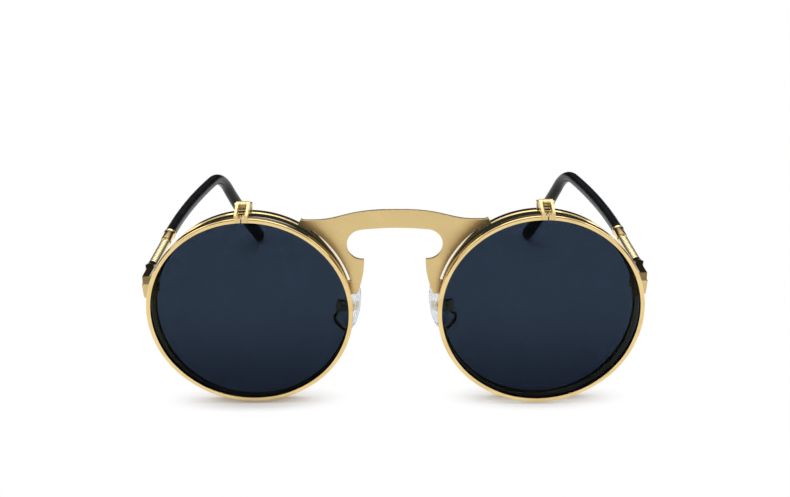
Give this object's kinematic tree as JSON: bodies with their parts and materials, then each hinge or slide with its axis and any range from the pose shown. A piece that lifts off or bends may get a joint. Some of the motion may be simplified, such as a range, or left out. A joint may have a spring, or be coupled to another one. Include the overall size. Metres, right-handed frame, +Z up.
{
  "type": "flip up sunglasses",
  "caption": "Round metal spectacles with a flat keyhole bridge plate, clear main lenses, hinged dark flip-up lenses, wound-wire temples with black hooked sleeves and rocking nose pads.",
  "frame": {"origin": "middle of the footprint, on the surface that the glasses stand on (main rims and temple tips touch it)", "axes": "+X to the wearer's left, +Y back along the temples, +Z up"},
  "size_m": [0.1326, 0.145, 0.0542],
  "materials": {
    "gold_plate": "bright gold-plated sheet",
    "gold_wire": "polished gold-plated wire",
    "pale_gold": "bright pale gold wound wire",
    "steel": "plated small screws",
    "clear_lens": "clear dished lens",
    "smoke_lens": "dark smoke-blue tinted lens",
    "black_sleeve": "smooth black acetate-like sleeve",
    "silicone": "clear soft silicone",
    "core_wire": "spring steel wire"
  },
  "bodies": {
    "front": {"bridge_plate": "gold_plate", "main_rim_left": "gold_wire", "main_lens_left": "clear_lens", "end_piece_left": "gold_plate", "rim_screw_left": "steel", "temple_screw_left": "steel", "flip_bracket_left": "gold_plate", "pad_arm_left": "gold_wire", "pad_box_left": "gold_plate", "pad_screw_left": "steel", "main_rim_right": "gold_wire", "main_lens_right": "clear_lens", "end_piece_right": "gold_plate", "rim_screw_right": "steel", "temple_screw_right": "steel", "flip_bracket_right": "gold_plate", "pad_arm_right": "gold_wire", "pad_box_right": "gold_plate", "pad_screw_right": "steel"},
    "flip_left": {"flip_rim_left": "gold_wire", "flip_lens_left": "smoke_lens", "flip_ear_inner_left": "gold_plate", "flip_ear_outer_left": "gold_plate", "flip_screw_left": "steel"},
    "temple_left": {"temple_root_left": "gold_plate", "temple_wire_left": "core_wire", "temple_coil_left": "pale_gold", "temple_ferrule_left": "gold_wire", "temple_sleeve_left": "black_sleeve"},
    "pad_left": {"pad_core_left": "steel", "nose_pad_left": "silicone"},
    "flip_right": {"flip_rim_right": "gold_wire", "flip_lens_right": "smoke_lens", "flip_ear_inner_right": "gold_plate", "flip_ear_outer_right": "gold_plate", "flip_screw_right": "steel"},
    "temple_right": {"temple_root_right": "gold_plate", "temple_wire_right": "core_wire", "temple_coil_right": "pale_gold", "temple_ferrule_right": "gold_wire", "temple_sleeve_right": "black_sleeve"},
    "pad_right": {"pad_core_right": "steel", "nose_pad_right": "silicone"}
  },
  "joints": [
    {"name": "flip_left_hinge", "type": "hinge", "parent": "front", "child": "flip_left", "pos_m": [0.03665, -0.06657, 0.05305], "axis": [-1, 0, 0], "range_deg": [-2, 98]},
    {"name": "flip_right_hinge", "type": "hinge", "parent": "front", "child": "flip_right", "pos_m": [-0.03665, -0.06657, 0.05305], "axis": [-1, 0, 0], "range_deg": [0, 100]},
    {"name": "temple_left_hinge", "type": "hinge", "parent": "front", "child": "temple_left", "pos_m": [0.0613, -0.05747, 0.0301], "axis": [0, 0, 1], "range_deg": [0, 77]},
    {"name": "temple_right_hinge", "type": "hinge", "parent": "front", "child": "temple_right", "pos_m": [-0.0613, -0.05747, 0.0301], "axis": [0, 0, -1], "range_deg": [0, 86]},
    {"name": "pad_left_rock", "type": "hinge", "parent": "front", "child": "pad_left", "pos_m": [0.01353, -0.05706, 0.02355], "axis": [0.454, 0.891, 0], "range_deg": [-8, 8]},
    {"name": "pad_right_rock", "type": "hinge", "parent": "front", "child": "pad_right", "pos_m": [-0.01353, -0.05706, 0.02355], "axis": [-0.454, 0.891, 0], "range_deg": [-8, 8]}
  ]
}
